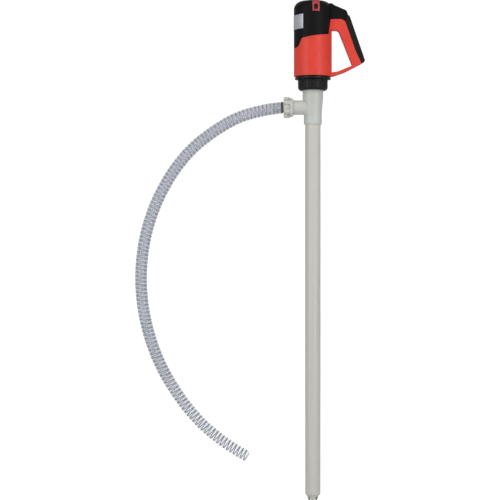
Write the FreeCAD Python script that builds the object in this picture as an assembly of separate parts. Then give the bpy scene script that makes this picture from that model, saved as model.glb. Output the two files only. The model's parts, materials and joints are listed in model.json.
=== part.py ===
import FreeCAD, Part
import math
import os

# Electric drum pump: a motor head with a D-handle, a coupling nut, a pump housing with a side outlet,
# a long immersion tube with a foot, and a clear spiral hose on the outlet.
# Millimetres. The origin is on the tube's axis where the tube leaves the housing. +Z runs up to the
# motor, +X to the handle, -X to the outlet, and the switch faces -Y.

# Immersion tube, shaft and foot
IMMERSION = 1000.0
TUBE_R = 20.5
TUBE_BORE_R = 18.5
TUBE_SOCKET = 18.0
TUBE_SOCKET_R = 20.0
FOOT_LENGTH = 72.0
FOOT_BORE_R = 17.0
INNER_TUBE_R = 11.0
INNER_TUBE_BORE_R = 9.0
INNER_TUBE_BOTTOM = -935.0
INNER_TUBE_TOP = 64.0
SHAFT_R = 4.0
RUNNING_GAP = 0.05
BUSH_LENGTH = 20.0
BUSH_BOTTOMS = (-934.0, -640.0, -330.0, -20.0)
SPACER_BOTTOMS = (-800.0, -500.0, -180.0)
IMPELLER_LOW = -976.0
IMPELLER_HIGH = -940.0

# Pump housing and outlet
HOUSING_R = 27.4
HOUSING_LOW_R = 24.0
HOUSING_TOP = 107.0
FLANGE_LOW = 94.3
FLANGE_HIGH = 97.3
PILOT_R = 25.0
CHAMBER_TOP = 58.0
OUTLET_Z = 45.5
BRANCH_R = 19.5
BRANCH_X = -51.0
BRANCH_THREAD_R = 16.5
BRANCH_END_X = -64.0
BRANCH_BORE_R = 13.0

# Drive coupling
CLAW_R = 15.0
CLAW_GAP = 0.3
CLAW_HUB_LOW = 78.8
PIN_Z = 81.5
PIN_R = 1.5
PIN_HALF = 7.5
PUMP_CLAW_TOP = 91.0
JAW_HEIGHT = 8.3
JAW_SPAN = 80.0

# Coupling nut under the motor
NUT_R = 39.6
NUT_LOW = 90.8
NUT_HIGH = 119.4
NUT_RIBS = 36

# Motor flange and casing
MOTOR_FLANGE_R = 47.8
MOTOR_FLANGE_LOW = 120.0
MOTOR_FLANGE_HIGH = 124.0
FLANGE_NECK_R = 44.6
SPIGOT_R = 30.7
CASING_LOW = 127.8
BODY_R = 50.5
WALL = 3.0
SHOULDER_Z = 308.2
DOME_TOP = 329.0
HANDLE_LOW = 128.0
HANDLE_HALF = 17.0
HANDLE_ROUND = 3.0
PARTING_GAP = 0.4
SCREW_CIRCLE_R = 41.0
SCREW_HOLE_R = 2.2
SCREW_HEAD_R = 3.5
SCREW_R = 2.0

# Motor
STATOR_LOW = 160.0
STATOR_HIGH = 225.0
STATOR_R = 46.0
POLE_BORE_R = 25.6
ARMATURE_R = 24.8
ARMATURE_SLOTS = 12
MOTOR_SHAFT_R = 6.0
MOTOR_TAIL_R = 5.0
COMMUTATOR_R = 13.0
COMMUTATOR_LOW = 242.0
COMMUTATOR_HIGH = 260.0
BRIDGE_LOW = 262.0
BRIDGE_HIGH = 266.0
POST_CIRCLE_R = 41.5
FAN_LOW = 136.0
FAN_HIGH = 146.0
FAN_R = 34.0
BRUSH_Z = 251.0
BRUSH_LONG = 10.0
BRUSH_WIDE = 6.0
BOARD_LOW = 284.0
BOARD_R = 38.0

# Switch and cable gland
SWITCH_X = 6.5
SWITCH_Z = 307.8
SWITCH_FRAME = 19.0
SWITCH_FRAME_LOW = 296.2
SLOT_HALF_WIDTH = 5.2
SLOT_HALF_HEIGHT = 6.8
ROCKER_HALF_HEIGHT = 6.0
ROCKER_TILT = 5.0
PIVOT_Y = -43.5
PIVOT_R = 1.0
PIVOT_EAR_R = 1.8
PIVOT_EAR_THICK = 1.4
GLAND_X = -7.0
GLAND_Y = -4.0
GLAND_TOP = 332.0
GLAND_R = 5.0
GLAND_NECK_R = 3.35
GLAND_BORE_R = 2.6

# Union nut, hose tail and hose
UNION_RIGHT = -51.3
UNION_STEP = -61.4
UNION_LEFT = -77.7
UNION_LOBES = 6
LOBE_R = 5.5
LOBE_CIRCLE_R = 22.8
TAIL_LEFT = -80.0
TAIL_END = -106.0
STOP_RING_LEFT = -85.0
HOSE_R = 16.5
HOSE_BORE_R = 12.5
HOSE_ROUTE = (
    (-85, 45), (-133, 40.5), (-228, 10), (-353, -86), (-441, -249),
    (-465, -432), (-426, -611), (-337, -758), (-239, -849), (-173, -884),
)

UP = FreeCAD.Vector(0, 0, 1)
ORIGIN = FreeCAD.Vector(0, 0, 0)


def vec(x, y, z):
    return FreeCAD.Vector(x, y, z)


def save(node, *solids):
    """Write one node: a single solid, or a group of separate ones."""
    shape = solids[0] if len(solids) == 1 else Part.makeCompound(list(solids))
    shape.exportStep(f"parts/{node}.step")
    print(f"{node}: {len(shape.Solids)} solids, {shape.Volume / 1000:.2f} cm3, valid {shape.isValid()}")


def cylinder(radius, z_low, z_high, x=0.0, y=0.0):
    return Part.makeCylinder(radius, z_high - z_low, vec(x, y, z_low))


def ring(outer, inner, z_low, z_high):
    return cylinder(outer, z_low, z_high).cut(cylinder(inner, z_low - 1, z_high + 1))


def rod_left(radius, x_right, x_left):
    """A cylinder on the outlet's axis."""
    return Part.makeCylinder(radius, x_right - x_left, vec(x_right, 0, OUTLET_Z), vec(-1, 0, 0))


def ring_left(outer, inner, x_right, x_left):
    return rod_left(outer, x_right, x_left).cut(rod_left(inner, x_right + 1, x_left - 1))


def block(x_low, x_high, y_low, y_high, z_low, z_high):
    return Part.makeBox(x_high - x_low, y_high - y_low, z_high - z_low, vec(x_low, y_low, z_low))


def turned(points):
    """An outline of (radius, z) points turned about the Z axis."""
    corners = [vec(radius, 0, z) for radius, z in points]
    return Part.Face(Part.makePolygon(corners + corners[:1])).revolve(ORIGIN, UP, 360)


def sector(outer, inner, z_low, z_high, middle, span):
    """A ring's piece, centred on an angle from +X and as wide as span, in degrees."""
    wedge = Part.makeCylinder(outer, z_high - z_low, vec(0, 0, z_low), UP, span)
    wedge.rotate(ORIGIN, UP, middle - span / 2)
    return wedge.cut(cylinder(inner, z_low - 1, z_high + 1))


def around(shape, count, centre=ORIGIN, axis=UP, first=0.0):
    """Copies of a shape, evenly spaced about an axis."""
    copies = []
    for i in range(count):
        copy = shape.copy()
        copy.rotate(centre, axis, first + 360.0 * i / count)
        copies.append(copy)
    return copies


def rounded_face(corners, y):
    """A face in a plane of constant y, with each (x, z, radius) corner rounded."""
    points = [vec(x, y, z) for x, z, radius in corners]
    stops = []
    for i, (x, z, radius) in enumerate(corners):
        here = points[i]
        back = (points[i - 1] - here).normalize()
        onward = (points[(i + 1) % len(points)] - here).normalize()
        half = back.getAngle(onward) / 2
        centre = here + (back + onward).normalize() * (radius / math.sin(half))
        cut = radius / math.tan(half)
        middle = centre + (here - centre).normalize() * radius if radius else here
        stops.append((here + back * cut, middle, here + onward * cut))
    edges = []
    for i, (start, middle, end) in enumerate(stops):
        edges.append(Part.makeLine(stops[i - 1][2], start))
        if corners[i][2]:
            edges.append(Part.Arc(start, middle, end).toShape())
    return Part.Face(Part.Wire(edges))


def prism(corners, half_depth):
    """A rounded outline in X and Z, extruded to both sides of the middle plane."""
    return rounded_face(corners, -half_depth).extrude(vec(0, 2 * half_depth, 0))


# ---- pump tube ----

def outer_tube():
    """The tube that goes through the drum's bung, stepped down where it's pushed into the housing."""
    low = -IMMERSION + FOOT_LENGTH
    save("outer_tube", turned([
        (TUBE_BORE_R, low), (TUBE_R, low), (TUBE_R, 0), (TUBE_SOCKET_R, 0),
        (TUBE_SOCKET_R, TUBE_SOCKET), (TUBE_BORE_R, TUBE_SOCKET),
    ]))


def inner_tube():
    save("inner_tube", ring(INNER_TUBE_R, INNER_TUBE_BORE_R, INNER_TUBE_BOTTOM, INNER_TUBE_TOP))


def tube_spacers():
    """Three-armed spiders that keep the inner tube in the middle of the outer one."""
    spiders = []
    for low in SPACER_BOTTOMS:
        arm = block(INNER_TUBE_R + 1, TUBE_BORE_R - 0.2, -1.5, 1.5, low, low + 12)
        collar = ring(INNER_TUBE_R + 1.5, INNER_TUBE_R, low, low + 12)
        spiders.append(collar.fuse(around(arm, 3, first=90)))
    save("tube_spacers", *spiders)


def shaft_bushes():
    bushes = [
        ring(INNER_TUBE_BORE_R, SHAFT_R + RUNNING_GAP, low, low + BUSH_LENGTH)
        for low in BUSH_BOTTOMS
    ]
    save("shaft_bushes", *bushes)


def pump_foot():
    """Rotor housing with a tapered tip, open below and notched on four sides."""
    top = -IMMERSION + FOOT_LENGTH
    foot = turned([
        (TUBE_R, top), (TUBE_R, -983), (15.6, -989.2), (11.4, -IMMERSION), (7.5, -IMMERSION),
        (7.5, -992), (12, -986), (FOOT_BORE_R, -981), (FOOT_BORE_R, top + 15),
        (TUBE_BORE_R, top + 15), (TUBE_BORE_R, top),
    ])
    slot = block(-TUBE_R, TUBE_R, -3.5, 3.5, -IMMERSION - 1, -993)
    arch = Part.makeCylinder(3.5, 2 * TUBE_R, vec(-TUBE_R, 0, -993), vec(1, 0, 0))
    save("pump_foot", foot.cut(around(slot.fuse(arch), 4, first=45)[:2]))


def impeller():
    hub = cylinder(6.5, IMPELLER_LOW, IMPELLER_HIGH)
    middle = (IMPELLER_LOW + IMPELLER_HIGH) / 2
    blade = block(5, 18, -1, 1, -18, 18)
    blade.rotate(ORIGIN, vec(1, 0, 0), 42)
    blade.translate(vec(0, 0, middle))
    blade = blade.common(ring(FOOT_BORE_R - 0.7, 5.5, IMPELLER_LOW + 3, IMPELLER_HIGH - 3))
    wheel = hub.fuse(around(blade, 4)).cut(cylinder(SHAFT_R, IMPELLER_LOW - 1, IMPELLER_HIGH + 1))
    save("impeller", wheel)


def impeller_nut():
    corners = [vec(6.5, 0, -982)]
    for i in range(1, 7):
        angle = math.radians(60 * i)
        corners.append(vec(6.5 * math.cos(angle), 6.5 * math.sin(angle), -982))
    corners[-1] = corners[0]
    hexagon = Part.Face(Part.makePolygon(corners)).extrude(vec(0, 0, IMPELLER_LOW + 982))
    save("impeller_nut", hexagon.cut(cylinder(SHAFT_R, -983, IMPELLER_LOW + 1)))


def cross_pin(half):
    """The pin that holds the claw on the shaft, or, longer, the hole it sits in."""
    return Part.makeCylinder(PIN_R, 2 * half, vec(-half, 0, PIN_Z), vec(1, 0, 0))


def drive_shaft():
    save("drive_shaft", cylinder(SHAFT_R, -984, PUMP_CLAW_TOP).cut(cross_pin(PIN_HALF + 2)))
    save("claw_pin", cross_pin(PIN_HALF))


# ---- pump housing ----

def pump_housing():
    """Tee-shaped housing: socket for the tubes, side outlet, seal and bearing seats, claw chamber."""
    body = turned([
        (0, 0), (22.3, 0), (HOUSING_LOW_R, 3.5), (HOUSING_LOW_R, 20.2), (23.6, 20.6), (23.6, 21.4),
        (HOUSING_LOW_R, 21.8), (HOUSING_LOW_R, 30), (HOUSING_R, 72), (HOUSING_R, FLANGE_LOW),
        (30.6, FLANGE_LOW), (30.6, FLANGE_HIGH), (PILOT_R, FLANGE_HIGH), (PILOT_R, HOUSING_TOP),
        (0, HOUSING_TOP),
    ])
    thread = rod_left(BRANCH_THREAD_R, BRANCH_X + 1, BRANCH_END_X)
    branch = rod_left(BRANCH_R, 0, BRANCH_X).fuse(thread)
    hollows = [
        cylinder(TUBE_SOCKET_R, -1, TUBE_SOCKET),
        cylinder(TUBE_BORE_R, TUBE_SOCKET - 1, CHAMBER_TOP),
        cylinder(INNER_TUBE_R, CHAMBER_TOP - 1, INNER_TUBE_TOP),
        cylinder(9, INNER_TUBE_TOP - 1, 70),
        cylinder(11, 70, 78),
        cylinder(17, 77, HOUSING_TOP + 1),
        rod_left(BRANCH_BORE_R, -5, BRANCH_END_X - 1),
        ring(PILOT_R + 1, 22.4, 100.8, 103.8),
    ]
    save("pump_housing", body.fuse(branch).cut(hollows).removeSplitter())


def housing_seals():
    save("shaft_seal", ring(9, SHAFT_R + RUNNING_GAP, INNER_TUBE_TOP + 0.3, 69.5))
    save("pilot_o_ring", Part.makeTorus(23.6, 1.35, vec(0, 0, 102.3)))


def ball_bearing(name, bore, outer, ball, z_low, width, balls):
    """Two plain races with the balls between them, each a node of its own."""
    pitch = (bore + outer) / 2
    save(f"{name}_outer_race", ring(outer, pitch + ball + 0.1, z_low, z_low + width))
    save(f"{name}_inner_race", ring(pitch - ball - 0.1, bore, z_low, z_low + width))
    sphere = Part.makeSphere(ball, vec(pitch, 0, z_low + width / 2))
    save(f"{name}_balls", *around(sphere, balls))


def bearings():
    ball_bearing("pump_bearing", SHAFT_R, 11, 1.5, 70.2, 6.6, 7)
    ball_bearing("lower_bearing", MOTOR_SHAFT_R, 16, 2.4, 118, 10, 8)
    ball_bearing("upper_bearing", MOTOR_TAIL_R, 14, 2.0, 264.2, 8, 8)


def drive_claws():
    """Two-jaw claws: the pump's half points up, and the motor's half comes down between its jaws."""
    top = PUMP_CLAW_TOP
    hub = cylinder(8, CLAW_HUB_LOW, 85)
    jaws = [sector(CLAW_R, 7, top - 1, top + JAW_HEIGHT, middle, JAW_SPAN) for middle in (90, 270)]
    pump_half = hub.fuse([cylinder(CLAW_R, 84, top)] + jaws)
    save("pump_claw", pump_half.cut([cylinder(SHAFT_R, CLAW_HUB_LOW - 1, top), cross_pin(PIN_HALF + 2)]))

    low = top + JAW_HEIGHT + CLAW_GAP
    jaws = [sector(CLAW_R, 7, top + CLAW_GAP, low + 1, middle, JAW_SPAN) for middle in (0, 180)]
    motor_half = cylinder(CLAW_R, low, 106.5).fuse([cylinder(9, 106, 111.5)] + jaws)
    save("motor_claw", motor_half.cut(cylinder(MOTOR_SHAFT_R, low, 112)))


# ---- coupling nut ----

def hand_nut():
    """Ribbed nut, held on the housing by its lip and screwed onto the motor's spigot."""
    nut = turned([
        (28, NUT_LOW), (35.2, NUT_LOW), (NUT_R, NUT_LOW + 5.5), (NUT_R, NUT_HIGH - 1),
        (NUT_R - 1, NUT_HIGH), (31.2, NUT_HIGH), (31.2, 93.8), (28, 93.8),
    ])
    groove = cylinder(1.5, NUT_LOW - 1, NUT_HIGH + 1, x=NUT_R + 0.6)
    save("hand_nut", nut.cut(around(groove, NUT_RIBS)))


# ---- motor flange, casing, cap and handle ----

def motor_flange():
    flange = turned([
        (SPIGOT_R, 97.6), (SPIGOT_R, MOTOR_FLANGE_LOW), (MOTOR_FLANGE_R, MOTOR_FLANGE_LOW),
        (MOTOR_FLANGE_R, MOTOR_FLANGE_HIGH), (FLANGE_NECK_R, MOTOR_FLANGE_HIGH),
        (FLANGE_NECK_R, CASING_LOW), (37.8, CASING_LOW), (37.8, 131),
        (16, 131), (16, 118), (7.5, 118), (7.5, 112), (17, 112), (17, HOUSING_TOP + 0.3),
        (PILOT_R + 0.1, HOUSING_TOP + 0.3), (PILOT_R + 0.1, 97.6),
    ])
    seat = MOTOR_FLANGE_HIGH - 0.8
    hole = cylinder(SCREW_HOLE_R, seat - 1, CASING_LOW + 1, x=SCREW_CIRCLE_R)
    counterbore = cylinder(SCREW_HEAD_R + 0.3, MOTOR_FLANGE_LOW - 1, seat, x=SCREW_CIRCLE_R)
    save("motor_flange", flange.cut(around(hole.fuse(counterbore), 4, first=45)))
    head = cylinder(SCREW_HEAD_R, seat - 3, seat, x=SCREW_CIRCLE_R)
    screw = head.fuse(cylinder(SCREW_R, seat - 1, seat + 15.6, x=SCREW_CIRCLE_R))
    screw = screw.cut(cylinder(1.5, seat - 4, seat - 1.4, x=SCREW_CIRCLE_R))
    save("flange_screws", *around(screw, 4, first=45))
    save("bearing_circlip", ring(16, 13.8, 128.1, 129.6))


def domed_body(inset):
    """The motor body's outside, or its inside at that inset: a cylinder under a rounded dome."""
    radius = BODY_R - inset
    shoulder = vec(radius, 0, SHOULDER_Z)
    bend = vec(radius - 6.5, 0, SHOULDER_Z + 13.2 - inset * 0.75)
    crown = vec(radius - 23, 0, DOME_TOP - 1.0 - inset)
    top = vec(0, 0, DOME_TOP - inset)
    foot = vec(radius, 0, CASING_LOW)
    foot_centre = vec(0, 0, CASING_LOW)
    rise = vec((radius - 23) / 2, 0, DOME_TOP - 0.25 - inset)
    edges = [
        Part.makeLine(foot_centre, foot),
        Part.makeLine(foot, shoulder),
        Part.Arc(shoulder, bend, crown).toShape(),
        Part.Arc(crown, rise, top).toShape(),
        Part.makeLine(top, foot_centre),
    ]
    return Part.Face(Part.Wire(edges)).revolve(ORIGIN, UP, 360)


def rounded_sides(shape, beyond_x):
    """Round the edges along a handle piece's two flat sides, to the right of beyond_x."""
    edges = [
        edge for edge in shape.Edges
        if abs(abs(edge.CenterOfMass.y) - HANDLE_HALF) < 0.01 and edge.CenterOfMass.x > beyond_x
    ]
    return shape.makeFillet(HANDLE_ROUND, edges)


def handle():
    """The D-shaped handle, with its finger gap, and the thicker stretch that the palm holds."""
    loop = prism([
        (42, 300, 0), (42, 321.6, 0), (49.8, 321.6, 3), (57.3, 316.3, 9), (89.4, 302.4, 11),
        (133.9, 172.2, 6), (129.5, 162.0, 7), (84.2, 138.7, 60), (53, HANDLE_LOW, 0),
        (34, HANDLE_LOW, 0), (34, 300, 0),
    ], HANDLE_HALF)
    gap = prism([
        (30, 250.3, 0), (67.5, 250.3, 10), (104.6, 156.4, 4), (66, 140.4, 40), (30, 134.6, 0),
    ], HANDLE_HALF + 1)
    palm = prism([
        (88, 276, 0), (93.7, 290.0, 0), (97.4, 288.4, 0), (138.8, 168.6, 4), (129.6, 162.5, 0),
        (118, 180, 0),
    ], HANDLE_HALF)
    return rounded_sides(loop.cut(gap), 47).fuse(rounded_palm(palm))


def rounded_palm(palm):
    """Round only the palm piece's outer edges, because its inner ones lie inside the handle."""
    edges = [
        edge for edge in palm.Edges
        if abs(abs(edge.CenterOfMass.y) - HANDLE_HALF) < 0.01
        and edge.CenterOfMass.x + 0.337 * edge.CenterOfMass.z > 188
    ]
    return palm.makeFillet(HANDLE_ROUND, edges)


def parting_outline():
    """The black parts' side of the line between cap and casing, as it runs round body and handle."""
    return [
        (-70, 203, 0), (-40.6, 202.4, 9), (-31, 226.2, 6), (0, 232.3, 60), (40.4, 237.3, 3),
        (45.8, 279.2, 4), (83.5, 279.2, 16), (113.2, 195, 60), (134, 150.5, 0),
        (170, 150.5, 0), (170, 350, 0), (-70, 350, 0),
    ]


def motor_body():
    """Casing, cap and grip cover, cut from one outer shape along the parting line."""
    outside = domed_body(0).fuse(handle())
    inside = domed_body(WALL).cut(cylinder(BODY_R, 0, CASING_LOW + 4.2))
    depth = BODY_R + 10
    black_face = rounded_face(parting_outline(), -depth)
    black = black_face.extrude(vec(0, 2 * depth, 0))
    grown = black_face.makeOffset2D(PARTING_GAP).extrude(vec(0, 2 * depth, 0))
    grip = prism([
        (95.4, 350, 0), (95.4, 290.7, 0), (86, 274, 0), (86, 120, 0), (170, 120, 0), (170, 350, 0),
    ], depth)
    red = outside.cut([grown, inside, cylinder(38, 0, 140)])
    ledge = ring(BODY_R - WALL + 0.2, STATOR_R - 3, STATOR_LOW - 6, STATOR_LOW)
    boss = cylinder(4.6, CASING_LOW + 4, CASING_LOW + 12, x=SCREW_CIRCLE_R)
    thread = cylinder(2.05, CASING_LOW - 1, CASING_LOW + 13, x=SCREW_CIRCLE_R)
    casing = red.fuse([ledge] + around(boss, 4, first=45)).cut(around(thread, 4, first=45))
    save("motor_casing", casing)

    shell = outside.cut(inside).common(black)
    gland_hole = cylinder(GLAND_R, DOME_TOP - 20, DOME_TOP + 10, x=GLAND_X, y=GLAND_Y)
    save("top_cap", shell.cut([grip, switch_slot(), gland_hole]))
    trimmed = grip.cut(prism([
        (95.8, 351, 0), (95.8, 290.6, 0), (86.4, 273.9, 0), (86.4, 119, 0), (80, 119, 0), (80, 351, 0),
    ], depth + 1))
    save("grip_cover", shell.common(trimmed))


def name_plate():
    """A thin blank plate round the left side of the cap, a little narrower at its two ends."""
    plate = sector(BODY_R + 0.7, BODY_R, 245, 295, -176.5, 108)
    outline = prism([(-60, 249.8, 0), (-20, 252.2, 0), (-20, 290.6, 0), (-60, 287.6, 0)], BODY_R + 5)
    save("name_plate", plate.common(outline))


# ---- switch and cable gland ----

def switch_slot():
    """The upright slot through the frame and the cap's wall."""
    return block(
        SWITCH_X - SLOT_HALF_WIDTH, SWITCH_X + SLOT_HALF_WIDTH, -60, -38,
        SWITCH_Z - SLOT_HALF_HEIGHT, SWITCH_Z + SLOT_HALF_HEIGHT,
    )


def pivot(radius, half):
    """A round bar on the rocker's axis, reaching as far as half to either side."""
    return Part.makeCylinder(radius, 2 * half, vec(SWITCH_X - half, PIVOT_Y, SWITCH_Z), vec(1, 0, 0))


def switch():
    """Raised frame over the cap's shoulder, the rocker in its slot, and the switch it turns on."""
    half = SWITCH_FRAME / 2
    strip = block(SWITCH_X - half, SWITCH_X + half, -60, -8, SWITCH_FRAME_LOW, DOME_TOP + 5)
    save("switch_frame", domed_body(-2.6).common(strip).cut([domed_body(0), switch_slot()]))

    high = ROCKER_HALF_HEIGHT
    profile = [
        (-48, -high), (-46.8, 0), (-48, high), (-44, high), (-41.6, 1.8), (-41.6, -1.8), (-44, -high),
    ]
    half = SLOT_HALF_WIDTH - 0.5
    corners = [vec(SWITCH_X - half, y, SWITCH_Z + z) for y, z in profile]
    rocker = Part.Face(Part.makePolygon(corners + corners[:1])).extrude(vec(2 * half, 0, 0))
    rocker.rotate(vec(SWITCH_X, PIVOT_Y, SWITCH_Z), vec(1, 0, 0), -ROCKER_TILT)
    inner = half + 0.2
    outer = inner + PIVOT_EAR_THICK
    save("switch_rocker", rocker.fuse(pivot(PIVOT_R, outer)))

    front = -40.6
    housing = block(SWITCH_X - 8, SWITCH_X + 8, front, -24, SWITCH_Z - 10, SWITCH_Z + 8)
    low = SWITCH_Z - PIVOT_EAR_R
    high = SWITCH_Z + PIVOT_EAR_R
    ears = pivot(PIVOT_EAR_R, outer).fuse(
        block(SWITCH_X - outer, SWITCH_X + outer, PIVOT_Y, front, low, high)
    )
    between = block(SWITCH_X - inner, SWITCH_X + inner, PIVOT_Y - 3, front, low - 1, high + 1)
    module = housing.fuse(ears.cut(between)).cut(pivot(PIVOT_R + RUNNING_GAP, outer + 1))
    save("switch_module", module)


def cable_gland():
    gland = cylinder(GLAND_R, 316, DOME_TOP - 0.1, x=GLAND_X, y=GLAND_Y)
    neck = cylinder(GLAND_NECK_R, DOME_TOP - 1, GLAND_TOP, x=GLAND_X, y=GLAND_Y)
    bore = cylinder(GLAND_BORE_R, 320, GLAND_TOP + 1, x=GLAND_X, y=GLAND_Y)
    save("cable_gland", gland.fuse(neck).cut(bore))


# ---- motor ----

def stator():
    """Laminated ring with two poles, and a coil looped round each pole."""
    core = ring(STATOR_R, 37, STATOR_LOW, STATOR_HIGH)
    poles = [sector(38, POLE_BORE_R, STATOR_LOW, STATOR_HIGH, middle, 100) for middle in (90, 270)]
    tapped = around(cylinder(2.05, STATOR_LOW + 10, STATOR_HIGH + 1, x=POST_CIRCLE_R), 4, first=45)
    save("stator_core", core.fuse(poles).cut(tapped))
    for name, middle in (("field_coil_rear", 90), ("field_coil_front", 270)):
        loop = sector(36.5, 27.5, STATOR_LOW - 10, STATOR_HIGH + 10, middle, 150)
        window = sector(45, 20, STATOR_LOW - 0.4, STATOR_HIGH + 0.4, middle, 101)
        save(name, loop.cut(window))


def armature():
    """Slotted core, windings through its slots, commutator and shaft."""
    slot = block(16, ARMATURE_R + 1, -1.5, 1.5, STATOR_LOW - 1, STATOR_HIGH + 1)
    core = ring(ARMATURE_R, MOTOR_SHAFT_R, STATOR_LOW, STATOR_HIGH)
    save("armature_core", core.cut(around(slot, ARMATURE_SLOTS)))

    bar = block(16.2, 23.4, -1.3, 1.3, STATOR_LOW - 2, STATOR_HIGH + 2)
    end_turns = [
        ring(22.5, MOTOR_SHAFT_R, STATOR_LOW - 11, STATOR_LOW),
        ring(22.5, MOTOR_SHAFT_R, STATOR_HIGH, STATOR_HIGH + 12),
    ]
    save("armature_windings", end_turns[0].fuse(end_turns[1:] + around(bar, ARMATURE_SLOTS)))

    gap = block(11.8, COMMUTATOR_R + 1, -0.3, 0.3, COMMUTATOR_LOW - 1, COMMUTATOR_HIGH + 1)
    collector = ring(COMMUTATOR_R, MOTOR_SHAFT_R, COMMUTATOR_LOW, COMMUTATOR_HIGH)
    save("commutator", collector.cut(around(gap, 2 * ARMATURE_SLOTS)))

    low = PUMP_CLAW_TOP + JAW_HEIGHT + CLAW_GAP
    shaft = cylinder(MOTOR_SHAFT_R, low, COMMUTATOR_HIGH).fuse(cylinder(MOTOR_TAIL_R, 259, 276))
    save("armature_shaft", shaft)


def cooling_fan():
    hub = ring(9, MOTOR_SHAFT_R, FAN_LOW, FAN_HIGH)
    plate = ring(FAN_R, 8, FAN_LOW, FAN_LOW + 2)
    blade = block(12, FAN_R - 0.5, -0.8, 0.8, FAN_LOW + 1, FAN_HIGH)
    save("cooling_fan", hub.fuse([plate] + around(blade, 9)))


def bearing_bridge():
    """Upper bearing seat on four pillars that stand on the stator."""
    plate = cylinder(45, BRIDGE_LOW, BRIDGE_HIGH).fuse(cylinder(17, BRIDGE_LOW, 274))
    pillars = around(cylinder(4.2, STATOR_HIGH, BRIDGE_LOW + 1, x=POST_CIRCLE_R), 4, first=45)
    window = sector(38, 20, BRIDGE_LOW - 1, BRIDGE_HIGH + 1, 90, 70)
    hollows = [cylinder(14, 264.2, 275), cylinder(6, BRIDGE_LOW - 1, 265)]
    holes = around(cylinder(2.1, STATOR_HIGH - 1, BRIDGE_HIGH + 1, x=POST_CIRCLE_R), 4, first=45)
    bridge = plate.fuse(pillars).cut(hollows + holes + around(window, 2))
    save("bearing_bridge", bridge)
    bolt = cylinder(2, STATOR_LOW + 12, BRIDGE_HIGH + 0.5, x=POST_CIRCLE_R)
    head = cylinder(3.5, BRIDGE_HIGH, BRIDGE_HIGH + 3, x=POST_CIRCLE_R)
    save("bridge_bolts", *around(bolt.fuse(head), 4, first=45))


def brush_spring():
    """A coil spring on the X axis, from its inner end outwards."""
    helix = Part.makeHelix(1.6, 6.4, 2.2)
    section = Part.Wire(Part.makeCircle(0.3, vec(2.2, 0, 0), vec(0, 1, 0)))
    spring = Part.Wire(helix.Edges).makePipeShell([section], True, True)
    spring.rotate(ORIGIN, vec(0, 1, 0), 90)
    return spring


def brush_gear():
    """Two brushes in box holders under the bridge, each pushed in by a coil spring."""
    wide = BRUSH_WIDE / 2
    high = BRUSH_LONG / 2
    for name, turn in (("right", 0), ("left", 180)):
        box = block(15, 34, -wide - 1.5, wide + 1.5, BRUSH_Z - high - 1.5, BRUSH_Z + high + 1.5)
        arm = block(24, 34, -wide - 1.5, wide + 1.5, BRUSH_Z + high + 1, BRIDGE_LOW)
        hollow = block(14, 33, -wide - 0.1, wide + 0.1, BRUSH_Z - high - 0.1, BRUSH_Z + high + 0.1)
        spring = brush_spring()
        spring.translate(vec(26.3, 0, BRUSH_Z))
        shapes = {
            "brush_holder": box.fuse(arm).cut(hollow),
            "carbon_brush": block(COMMUTATOR_R + 0.3, 26, -wide, wide, BRUSH_Z - high, BRUSH_Z + high),
            "brush_spring": spring,
        }
        for part, shape in shapes.items():
            shape.rotate(ORIGIN, UP, turn)
            save(f"{part}_{name}", shape)


def control_board():
    board = cylinder(BOARD_R, BOARD_LOW, BOARD_LOW + 1.6)
    capacitor = cylinder(6, BOARD_LOW + 1, BOARD_LOW + 22, x=-18, y=12)
    choke = cylinder(8, BOARD_LOW + 1, BOARD_LOW + 12, x=14, y=18)
    heat_sink = block(-12, 12, -8, -4, BOARD_LOW + 1, BOARD_LOW + 18)
    posts = around(cylinder(2.5, BRIDGE_HIGH, BOARD_LOW, x=30), 3, first=30)
    save("control_board", board.fuse([capacitor, choke, heat_sink]))
    save("board_posts", *posts)


# ---- union nut, hose tail and hose ----

def turned_left(points):
    """An outline of (x, radius) points turned about the outlet's axis."""
    corners = [vec(x, 0, OUTLET_Z + radius) for x, radius in points]
    face = Part.Face(Part.makePolygon(corners + corners[:1]))
    return face.revolve(vec(0, 0, OUTLET_Z), vec(1, 0, 0), 360)


def union_nut():
    """Lobed nut on the hose tail, screwed onto the branch, with a plain collar at its mouth."""
    barrel = turned_left([
        (UNION_RIGHT, 0), (UNION_RIGHT, 21.5), (UNION_RIGHT - 3.2, 25), (UNION_STEP, 25.8),
        (UNION_STEP - 0.4, 24), (UNION_STEP - 0.4, 20.5), (UNION_LEFT, 20.5), (UNION_LEFT, 0),
    ])
    length = UNION_STEP - UNION_LEFT
    foot = vec(UNION_STEP, 0, OUTLET_Z + LOBE_CIRCLE_R)
    lobe = Part.makeCylinder(LOBE_R, length, foot, vec(-1, 0, 0))
    end_edges = [edge for edge in lobe.Edges if abs(edge.CenterOfMass.x - UNION_LEFT) < 0.01]
    lobe = lobe.makeChamfer(1.2, end_edges)
    lobes = around(lobe, UNION_LOBES, centre=vec(0, 0, OUTLET_Z), axis=vec(1, 0, 0))
    hollows = [rod_left(16.9, UNION_RIGHT + 1, -69.2), rod_left(13.8, -69, UNION_LEFT - 1)]
    save("union_nut", barrel.fuse(lobes).cut(hollows))


def hose_tail():
    """Gasket, tail with its shoulder under the nut, and the ring that the hose stops against."""
    save("outlet_gasket", ring_left(16, BRANCH_BORE_R, BRANCH_END_X, BRANCH_END_X - 2))
    shoulder = rod_left(16, BRANCH_END_X - 2, -68.8)
    neck = rod_left(13.5, -68, TAIL_LEFT)
    barb = rod_left(11.3, TAIL_LEFT + 1, TAIL_END)
    save("hose_tail", shoulder.fuse([neck, barb]).cut(rod_left(9, -65, TAIL_END - 1)))
    save("stop_ring", ring_left(15.3, 11.3, TAIL_LEFT, STOP_RING_LEFT))


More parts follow.
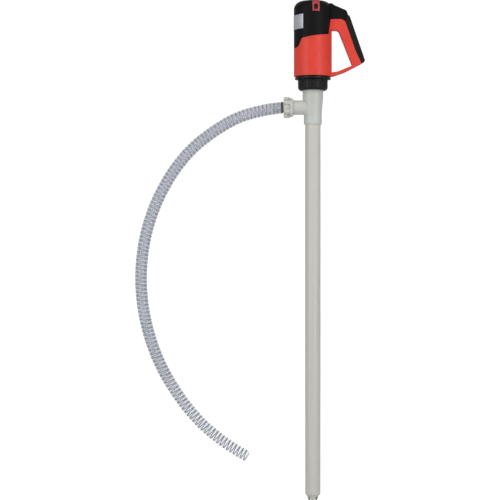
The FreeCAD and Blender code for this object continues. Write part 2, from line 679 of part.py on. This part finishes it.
def hose_path():
    """Straight runs joined by tangent arcs. Returns the wire and prints each arc's radius."""
    points = [vec(x, 0, z) for x, z in HOSE_ROUTE]
    edges = []
    last = points[0]
    for before, here, after in zip(points, points[1:], points[2:]):
        back = (before - here).normalize()
        onward = (after - here).normalize()
        half = back.getAngle(onward) / 2
        cut = 0.45 * min(before.distanceToPoint(here), here.distanceToPoint(after))
        radius = cut * math.tan(half)
        centre = here + (back + onward).normalize() * (radius / math.sin(half))
        middle = centre + (here - centre).normalize() * radius
        start = here + back * cut
        end = here + onward * cut
        edges.append(Part.makeLine(last, start))
        edges.append(Part.Arc(start, middle, end).toShape())
        last = end
        print(f"hose bend at {here.x:.0f}, {here.z:.0f}: radius {radius:.0f}")
    edges.append(Part.makeLine(last, points[-1]))
    return Part.Wire(edges)


def hose():
    path = hose_path()
    start = vec(HOSE_ROUTE[0][0], 0, HOSE_ROUTE[0][1])
    heading = vec(HOSE_ROUTE[1][0], 0, HOSE_ROUTE[1][1]) - start
    skins = []
    for radius in (HOSE_R, HOSE_BORE_R):
        section = Part.Wire(Part.makeCircle(radius, start, heading))
        skins.append(path.makePipeShell([section], True, False))
    tube = skins[0].cut(skins[1])
    expected = math.pi * (HOSE_R ** 2 - HOSE_BORE_R ** 2) * path.Length
    print(f"hose length {path.Length:.1f}, volume {tube.Volume:.0f}, section times length {expected:.0f}")
    save("hose", tube.cut(block(STOP_RING_LEFT, 0, -30, 30, 0, 80)))


os.makedirs("parts", exist_ok=True)
outer_tube()
inner_tube()
tube_spacers()
shaft_bushes()
pump_foot()
impeller()
impeller_nut()
drive_shaft()
pump_housing()
housing_seals()
bearings()
drive_claws()
hand_nut()
motor_flange()
motor_body()
name_plate()
switch()
cable_gland()
stator()
armature()
cooling_fan()
bearing_bridge()
brush_gear()
control_board()
union_nut()
hose_tail()
hose()
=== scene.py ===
import json
import math

import bpy
import numpy as np
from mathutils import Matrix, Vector


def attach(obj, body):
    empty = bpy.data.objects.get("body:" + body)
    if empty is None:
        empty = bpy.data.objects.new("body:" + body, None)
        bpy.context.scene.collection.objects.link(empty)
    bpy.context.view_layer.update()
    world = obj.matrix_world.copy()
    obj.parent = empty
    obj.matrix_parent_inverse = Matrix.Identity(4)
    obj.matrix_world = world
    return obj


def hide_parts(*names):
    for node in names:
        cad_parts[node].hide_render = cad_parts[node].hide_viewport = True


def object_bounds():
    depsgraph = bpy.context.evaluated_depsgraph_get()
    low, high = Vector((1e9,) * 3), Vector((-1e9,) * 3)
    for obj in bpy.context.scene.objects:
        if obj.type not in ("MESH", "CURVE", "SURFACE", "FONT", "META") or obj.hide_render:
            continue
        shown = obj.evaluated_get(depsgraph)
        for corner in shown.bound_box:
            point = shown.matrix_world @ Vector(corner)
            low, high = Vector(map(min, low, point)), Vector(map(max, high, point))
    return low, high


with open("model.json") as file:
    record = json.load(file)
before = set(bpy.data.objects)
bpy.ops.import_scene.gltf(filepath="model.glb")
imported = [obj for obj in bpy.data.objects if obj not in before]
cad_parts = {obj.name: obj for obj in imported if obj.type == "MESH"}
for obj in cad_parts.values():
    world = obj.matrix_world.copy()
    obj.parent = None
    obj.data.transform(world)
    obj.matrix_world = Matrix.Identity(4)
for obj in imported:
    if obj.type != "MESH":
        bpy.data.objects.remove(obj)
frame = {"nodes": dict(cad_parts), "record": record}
cad_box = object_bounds()

# Metres, in the part's own frame: the origin is on the tube's axis under the pump housing.
LOW, HIGH = cad_box
FLOOR_Z = LOW[2] - 0.001
VIEW_X = -0.1674
VIEW_Z = (LOW[2] + HIGH[2]) / 2
VIEW_DISTANCE = 4.5
VIEW_HEIGHT = HIGH[2] - LOW[2]

HOSE_WALL_R = 0.0154
HOSE_RIB_HEIGHT = 0.0010
HOSE_BORE_R = 0.0126
HOSE_PITCH = 0.0104
SPIRAL_R = 0.0140
SPIRAL_WIRE_R = 0.0012
SKIN_ROWS_A_TURN = 9
SKIN_COLUMNS = 40
WIRE_ROWS_A_TURN = 24
WIRE_COLUMNS = 8
HOSE_ROUTE = (
    (-0.085, 0.045), (-0.133, 0.0405), (-0.228, 0.010), (-0.353, -0.086), (-0.441, -0.249),
    (-0.465, -0.432), (-0.426, -0.611), (-0.337, -0.758), (-0.239, -0.849), (-0.173, -0.884),
)


# ---- materials ----

def tone(red, green, blue):
    """A display colour, 0 to 255, as the linear colour that shaders take."""
    linear = []
    for value in (red, green, blue):
        share = value / 255
        linear.append(share / 12.92 if share <= 0.04045 else ((share + 0.055) / 1.055) ** 2.4)
    return tuple(linear)


def shaded(color, factor):
    return tuple(min(1.0, channel * factor) for channel in color) + (1.0,)


class Finish:
    """A procedural material built up from one shader and object-space noise."""

    def __init__(self, name, color, roughness, **sockets):
        self.material = bpy.data.materials.new(name)
        self.material.use_nodes = True
        self.nodes = self.material.node_tree.nodes
        self.links = self.material.node_tree.links
        self.shader = self.nodes["Principled BSDF"]
        self.color = color
        self.coordinates = self.nodes.new("ShaderNodeTexCoord").outputs["Object"]
        self.shader.inputs["Base Color"].default_value = shaded(color, 1.0)
        self.shader.inputs["Roughness"].default_value = roughness
        for socket, value in sockets.items():
            self.shader.inputs[socket.replace("_", " ")].default_value = value

    def noise(self, scale, detail=3.0, stretch=(1.0, 1.0, 1.0)):
        mapping = self.nodes.new("ShaderNodeMapping")
        mapping.inputs["Scale"].default_value = stretch
        texture = self.nodes.new("ShaderNodeTexNoise")
        texture.inputs["Scale"].default_value = scale
        texture.inputs["Detail"].default_value = detail
        self.links.new(self.coordinates, mapping.inputs["Vector"])
        self.links.new(mapping.outputs["Vector"], texture.inputs["Vector"])
        return texture.outputs["Fac"]

    def remap(self, value, low, high, start=0.3, end=0.7):
        node = self.nodes.new("ShaderNodeMapRange")
        node.inputs["From Min"].default_value = start
        node.inputs["From Max"].default_value = end
        node.inputs["To Min"].default_value = low
        node.inputs["To Max"].default_value = high
        self.links.new(value, node.inputs["Value"])
        return node.outputs["Result"]

    def axis(self, name):
        """One of the part's own coordinates, in metres."""
        node = self.nodes.new("ShaderNodeSeparateXYZ")
        self.links.new(self.coordinates, node.inputs["Vector"])
        return node.outputs[name]

    def product(self, first, second):
        node = self.nodes.new("ShaderNodeMath")
        node.operation = "MULTIPLY"
        self.links.new(first, node.inputs[0])
        self.links.new(second, node.inputs[1])
        return node.outputs["Value"]

    def vary_color(self, dark, light, scale, stretch=(1.0, 1.0, 1.0)):
        mix = self.nodes.new("ShaderNodeMix")
        mix.data_type = "RGBA"
        mix.inputs["A"].default_value = shaded(self.color, dark)
        mix.inputs["B"].default_value = shaded(self.color, light)
        self.links.new(self.remap(self.noise(scale, stretch=stretch), 0, 1), mix.inputs["Factor"])
        self.links.new(mix.outputs["Result"], self.shader.inputs["Base Color"])
        return self

    def vary_roughness(self, low, high, scale, stretch=(1.0, 1.0, 1.0)):
        value = self.remap(self.noise(scale, 5.0, stretch), low, high)
        self.links.new(value, self.shader.inputs["Roughness"])
        return self

    def grain(self, depth, scale, stretch=(1.0, 1.0, 1.0)):
        """Fine surface relief, depth in metres."""
        bump = self.nodes.new("ShaderNodeBump")
        bump.inputs["Strength"].default_value = 1.0
        bump.inputs["Distance"].default_value = depth
        self.links.new(self.noise(scale, 2.0, stretch), bump.inputs["Height"])
        self.links.new(bump.outputs["Normal"], self.shader.inputs["Normal"])
        return self


def moulded(name, color, roughness, grain=0.00004, scale=1800, **sockets):
    """Moulded plastic: a faint cloudy tint, uneven gloss and a fine eroded grain."""
    finish = Finish(name, color, roughness, **sockets)
    finish.vary_color(0.94, 1.05, 22)
    finish.vary_roughness(roughness - 0.05, roughness + 0.07, 60)
    return finish.grain(grain, scale).material


def extruded(name, color, roughness):
    """Extruded pipe: streaks along its length and a slight waviness round it."""
    finish = Finish(name, color, roughness)
    finish.vary_color(0.95, 1.04, 160, stretch=(1.0, 1.0, 0.012))
    finish.vary_roughness(roughness - 0.06, roughness + 0.06, 240, stretch=(1.0, 1.0, 0.03))
    return finish.grain(0.00006, 420, stretch=(1.0, 1.0, 0.01)).material


def metal(name, color, roughness, stretch=(1.0, 1.0, 1.0)):
    finish = Finish(name, color, roughness, Metallic=1.0)
    finish.vary_color(0.88, 1.06, 120, stretch)
    finish.vary_roughness(roughness - 0.06, roughness + 0.1, 300, stretch)
    return finish.grain(0.00002, 900, stretch).material


def foil_plate():
    """Blank silver plate: satin foil brushed round the body, with faint smudges."""
    finish = Finish("plate_foil", tone(214, 219, 226), 0.4, Metallic=0.85)
    finish.vary_color(0.9, 1.05, 35)
    finish.vary_roughness(0.34, 0.46, 400, stretch=(0.05, 0.05, 1.0))
    return finish.grain(0.00001, 2500, stretch=(0.03, 0.03, 1.0)).material


def palette():
    """The finish of each of the record's material slots."""
    grey = tone(202, 204, 198)
    dull = {"Specular_IOR_Level": 0.25}
    return {
        "black_plastic": moulded("black_plastic", tone(20, 20, 22), 0.48, Specular_IOR_Level=0.1),
        "red_plastic": moulded("red_plastic", tone(229, 68, 53), 0.42, Specular_IOR_Level=0.35),
        "grip_plastic": moulded("grip_plastic", tone(17, 17, 18), 0.55, 0.00008, 1300, **dull),
        "plate_foil": foil_plate(),
        "frame_red": moulded("frame_red", tone(176, 54, 64), 0.38),
        # switch_red: the rocker's near-black red is painted shade of its recessed slot, laid over the
        # rocker's own red
        "switch_red": moulded("switch_red", tone(52, 4, 6), 0.5, **dull),
        "nut_black": moulded("nut_black", tone(24, 22, 24), 0.42, **dull),
        "housing_plastic": moulded("housing_plastic", grey, 0.36, 0.00003, 900),
        "tube_plastic": extruded("tube_plastic", tone(206, 206, 197), 0.38),
        "union_plastic": moulded("union_plastic", tone(205, 206, 199), 0.36, 0.00003, 900),
        "hose_vinyl": moulded("hose_cut_vinyl", tone(190, 195, 205), 0.3),
        # ring_rubber: a real collar ring at the hose end; its dark grey is painted shade of the gap
        # between hose and union nut
        "ring_rubber": moulded("ring_rubber", tone(62, 62, 64), 0.5),
        "seal_rubber": moulded("seal_rubber", tone(16, 16, 16), 0.55, **dull),
        "steel": metal("steel", tone(190, 192, 196), 0.28, (1.0, 1.0, 0.1)),
        "bearing_steel": metal("bearing_steel", tone(205, 207, 210), 0.15),
        "zinc_steel": metal("zinc_steel", tone(196, 198, 200), 0.35),
        "lamination": metal("lamination", tone(120, 122, 128), 0.4, (0.05, 0.05, 8.0)),
        "copper": metal("copper", tone(196, 110, 60), 0.34, (1.0, 1.0, 0.2)),
        "carbon": moulded("carbon", tone(40, 40, 42), 0.6),
        "brass": metal("brass", tone(205, 176, 96), 0.3),
        "aluminium": metal("aluminium", tone(190, 192, 194), 0.42),
        "inner_plastic": moulded("inner_plastic", tone(222, 222, 214), 0.4),
        "board_green": moulded("board_green", tone(36, 110, 66), 0.35),
    }


def dress_cad_nodes(finishes):
    for entry in frame["record"]["subparts"]:
        slots = frame["nodes"][entry["node"]].material_slots
        for slot in slots:
            slot.material = finishes[entry["material_slot"]]


# ---- hose ----

def hose_line():
    """The hose's centre line, read from a smooth spline through the route's control points."""
    curve = bpy.data.curves.new("hose_line", "CURVE")
    curve.dimensions = "3D"
    curve.resolution_u = 64
    spline = curve.splines.new("NURBS")
    spline.points.add(len(HOSE_ROUTE) - 1)
    for point, (x, z) in zip(spline.points, HOSE_ROUTE):
        point.co = (x, 0.0, z, 1.0)
    spline.order_u = 3
    spline.use_endpoint_u = True
    line = bpy.data.objects.new("hose_line", curve)
    mesh = bpy.data.meshes.new_from_object(line)
    points = np.array([vertex.co for vertex in mesh.vertices])
    bpy.data.meshes.remove(mesh)
    bpy.data.objects.remove(line)
    bpy.data.curves.remove(curve)
    return points


class Sweep:
    """Places round a line that stays in the XZ plane, by length along it and angle round it."""

    def __init__(self, line):
        steps = np.linalg.norm(np.diff(line, axis=0), axis=1)
        self.line = line
        self.along = np.concatenate([[0.0], np.cumsum(steps)])
        self.length = self.along[-1]
        self.headings = np.gradient(line, self.along, axis=0)

    def read(self, values, length):
        """Values held at the line's points, read at an array of lengths."""
        return np.stack([np.interp(length, self.along, values[:, k]) for k in range(3)], -1)

    def place(self, length, angle, radius):
        """Points at arrays of length, angle and radius."""
        centre = self.read(self.line, length)
        heading = self.read(self.headings, length)
        heading /= np.linalg.norm(heading, axis=-1, keepdims=True)
        side = np.array([0.0, 1.0, 0.0])
        lift = np.cross(heading, side)
        across = np.cos(angle)[..., None] * lift + np.sin(angle)[..., None] * side
        return centre + across * np.asarray(radius)[..., None]


def grid_faces(rows, columns, first=0, flip=False):
    """Quads between rows of points that close round each row."""
    faces = []
    for i in range(rows - 1):
        for j in range(columns):
            k = (j + 1) % columns
            face = (i * columns + j, i * columns + k, (i + 1) * columns + k, (i + 1) * columns + j)
            face = tuple(first + corner for corner in face)
            faces.append(face[::-1] if flip else face)
    return faces


def mesh_piece(name, points, faces, finish):
    mesh = bpy.data.meshes.new(name)
    mesh.from_pydata([tuple(point) for point in points], [], faces)
    mesh.polygons.foreach_set("use_smooth", [True] * len(mesh.polygons))
    mesh.update()
    mesh.materials.append(finish)
    piece = bpy.data.objects.new(name, mesh)
    bpy.context.scene.collection.objects.link(piece)
    return piece


def hose_skin(sweep, finish):
    """Clear hollow wall whose outside swells where the spiral runs."""
    rows = int(sweep.length / HOSE_PITCH * SKIN_ROWS_A_TURN)
    columns = SKIN_COLUMNS
    lengths = np.linspace(0, sweep.length, rows)[:, None]
    angles = np.linspace(0, 2 * math.pi, columns, endpoint=False)[None, :]
    phase = 2 * math.pi * lengths / HOSE_PITCH - angles
    swell = HOSE_RIB_HEIGHT * np.maximum(0, np.cos(phase)) ** 2
    shape = np.broadcast_to(lengths, phase.shape), np.broadcast_to(angles, phase.shape)
    outer = sweep.place(*shape, HOSE_WALL_R + swell).reshape(-1, 3)
    inner = sweep.place(*shape, np.full(phase.shape, HOSE_BORE_R)).reshape(-1, 3)
    count = rows * columns
    faces = grid_faces(rows, columns) + grid_faces(rows, columns, count, flip=True)
    for row, flip in ((0, False), (rows - 1, True)):
        for j in range(columns):
            k = (j + 1) % columns
            start = row * columns
            face = (start + j, count + start + j, count + start + k, start + k)
            faces.append(face[::-1] if flip else face)
    return mesh_piece("hose_skin", np.concatenate([outer, inner]), faces, finish)


def hose_spiral(sweep, finish):
    """The stiffening wire wound inside the wall."""
    rows = int(sweep.length / HOSE_PITCH * WIRE_ROWS_A_TURN)
    columns = WIRE_COLUMNS
    margin = SPIRAL_WIRE_R * 1.5
    lengths = np.linspace(margin, sweep.length - margin, rows)
    angles = 2 * math.pi * lengths / HOSE_PITCH
    centres = sweep.place(lengths, angles, np.full(rows, SPIRAL_R))
    outward = sweep.place(lengths, angles, np.full(rows, SPIRAL_R + 0.001)) - centres
    outward /= np.linalg.norm(outward, axis=1, keepdims=True)
    travel = np.gradient(centres, axis=0)
    travel /= np.linalg.norm(travel, axis=1, keepdims=True)
    sideways = np.cross(travel, outward)
    rings = []
    for j in range(columns):
        turn = 2 * math.pi * j / columns
        rings.append(centres + SPIRAL_WIRE_R * (math.cos(turn) * outward + math.sin(turn) * sideways))
    points = np.stack(rings, axis=1).reshape(-1, 3)
    faces = grid_faces(rows, columns)
    faces.append(tuple(range(columns))[::-1])
    faces.append(tuple((rows - 1) * columns + j for j in range(columns)))
    return mesh_piece("hose_spiral", points, faces, finish)


def clear_vinyl():
    """Glossy wall, denser where it is seen edge on, and clearer toward the hose's low end: painted
    light that lets more white through so the bottom of the hose looks lighter.
    """
    finish = Finish("clear_vinyl", tone(206, 213, 226), 0.2, Coat_Weight=0.6, Coat_Roughness=0.08)
    finish.vary_color(0.95, 1.03, 30)
    edge = finish.nodes.new("ShaderNodeLayerWeight")
    edge.inputs["Blend"].default_value = 0.5
    body = finish.remap(edge.outputs["Facing"], 0.36, 0.85, 0.4, 1.0)
    # Painted light: the wall turns clearer lower down so the hose's low end looks lighter.
    painted_lighter_low_end = finish.remap(finish.axis("Z"), 0.4, 1.0, -0.86, -0.58)
    finish.links.new(finish.product(body, painted_lighter_low_end), finish.shader.inputs["Alpha"])
    return finish.grain(0.00001, 300).material


def spiral_vinyl():
    finish = Finish("spiral_vinyl", tone(128, 131, 142), 0.4)
    return finish.vary_color(0.94, 1.04, 80).material


def build_hose():
    line = hose_line()
    sweep = Sweep(line)
    skin = hose_skin(sweep, clear_vinyl())
    spiral = hose_spiral(sweep, spiral_vinyl())
    for piece in (skin, spiral):
        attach(piece, "hose_set")
    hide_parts("hose")


# ---- floor, light and camera ----

def seen_directly(nodes, links, indirect, direct):
    """A strength with one value where it is looked at and another where it lights the object."""
    path = nodes.new("ShaderNodeLightPath")
    either = nodes.new("ShaderNodeMath")
    either.operation = "MAXIMUM"
    links.new(path.outputs["Is Camera Ray"], either.inputs[0])
    links.new(path.outputs["Is Transmission Ray"], either.inputs[1])
    strength = nodes.new("ShaderNodeMapRange")
    strength.inputs["To Min"].default_value = indirect
    strength.inputs["To Max"].default_value = direct
    links.new(either.outputs["Value"], strength.inputs["Value"])
    return strength.outputs["Result"]


def pale_floor():
    """A wide white floor, lit evenly enough to run into the white room without a horizon."""
    mesh = bpy.data.meshes.new("floor")
    reach = 30.0
    corners = [(-reach, -reach), (reach, -reach), (reach, reach), (-reach, reach)]
    mesh.from_pydata([(x, y, FLOOR_Z) for x, y in corners], [], [(0, 1, 2, 3)])
    floor = bpy.data.objects.new("floor", mesh)
    bpy.context.scene.collection.objects.link(floor)
    finish = Finish("pale_floor", tone(236, 236, 236), 0.9)
    glow = finish.nodes.new("ShaderNodeEmission")
    strength = seen_directly(finish.nodes, finish.links, indirect=0.0, direct=0.75)
    finish.links.new(strength, glow.inputs["Strength"])
    both = finish.nodes.new("ShaderNodeAddShader")
    output = finish.nodes["Material Output"]
    finish.links.new(finish.shader.outputs["BSDF"], both.inputs[0])
    finish.links.new(glow.outputs["Emission"], both.inputs[1])
    finish.links.new(both.outputs["Shader"], output.inputs["Surface"])
    mesh.materials.append(finish.material)


def white_surroundings():
    """The room behind is white to look at, and dim as a light, so the lamps shape the object."""
    world = bpy.data.worlds.new("studio")
    bpy.context.scene.world = world
    world.use_nodes = True
    background = world.node_tree.nodes["Background"]
    background.inputs["Color"].default_value = (1, 1, 1, 1)
    tree = world.node_tree
    strength = seen_directly(tree.nodes, tree.links, indirect=0.36, direct=1.05)
    tree.links.new(strength, background.inputs["Strength"])


def softbox(name, azimuth, distance, height, size, power):
    """An area lamp that faces the origin. Azimuth 0 is the viewer's side and grows to the right."""
    lamp = bpy.data.lights.new(name, "AREA")
    lamp.shape = "RECTANGLE"
    lamp.size, lamp.size_y = size
    lamp.energy = power
    holder = bpy.data.objects.new(name, lamp)
    angle = math.radians(azimuth)
    place = Vector((math.sin(angle) * distance, -math.cos(angle) * distance, height))
    holder.location = place
    holder.rotation_euler = (-place).to_track_quat("-Z", "Y").to_euler()
    bpy.context.scene.collection.objects.link(holder)


def lights():
    softbox("right_box", 38, 2.6, 0.25, (0.7, 2.4), 20)
    softbox("left_box", -47, 2.6, 0.25, (0.6, 2.4), 17)
    softbox("top_box", 5, 2.2, 2.4, (2.4, 1.6), 22)
    softbox("back_box", 170, 2.6, 1.6, (2.4, 1.6), 15)


def camera():
    lens = bpy.data.cameras.new("camera")
    lens.sensor_width = 36.0
    lens.lens = lens.sensor_width * VIEW_DISTANCE / VIEW_HEIGHT
    eye = bpy.data.objects.new("camera", lens)
    eye.location = (VIEW_X, -VIEW_DISTANCE, VIEW_Z)
    eye.rotation_euler = (math.radians(90), 0, 0)
    bpy.context.scene.collection.objects.link(eye)
    bpy.context.scene.camera = eye


finishes = palette()
dress_cad_nodes(finishes)
build_hose()
pale_floor()
white_surroundings()
lights()
camera()
bpy.context.scene.view_settings.view_transform = "Standard"
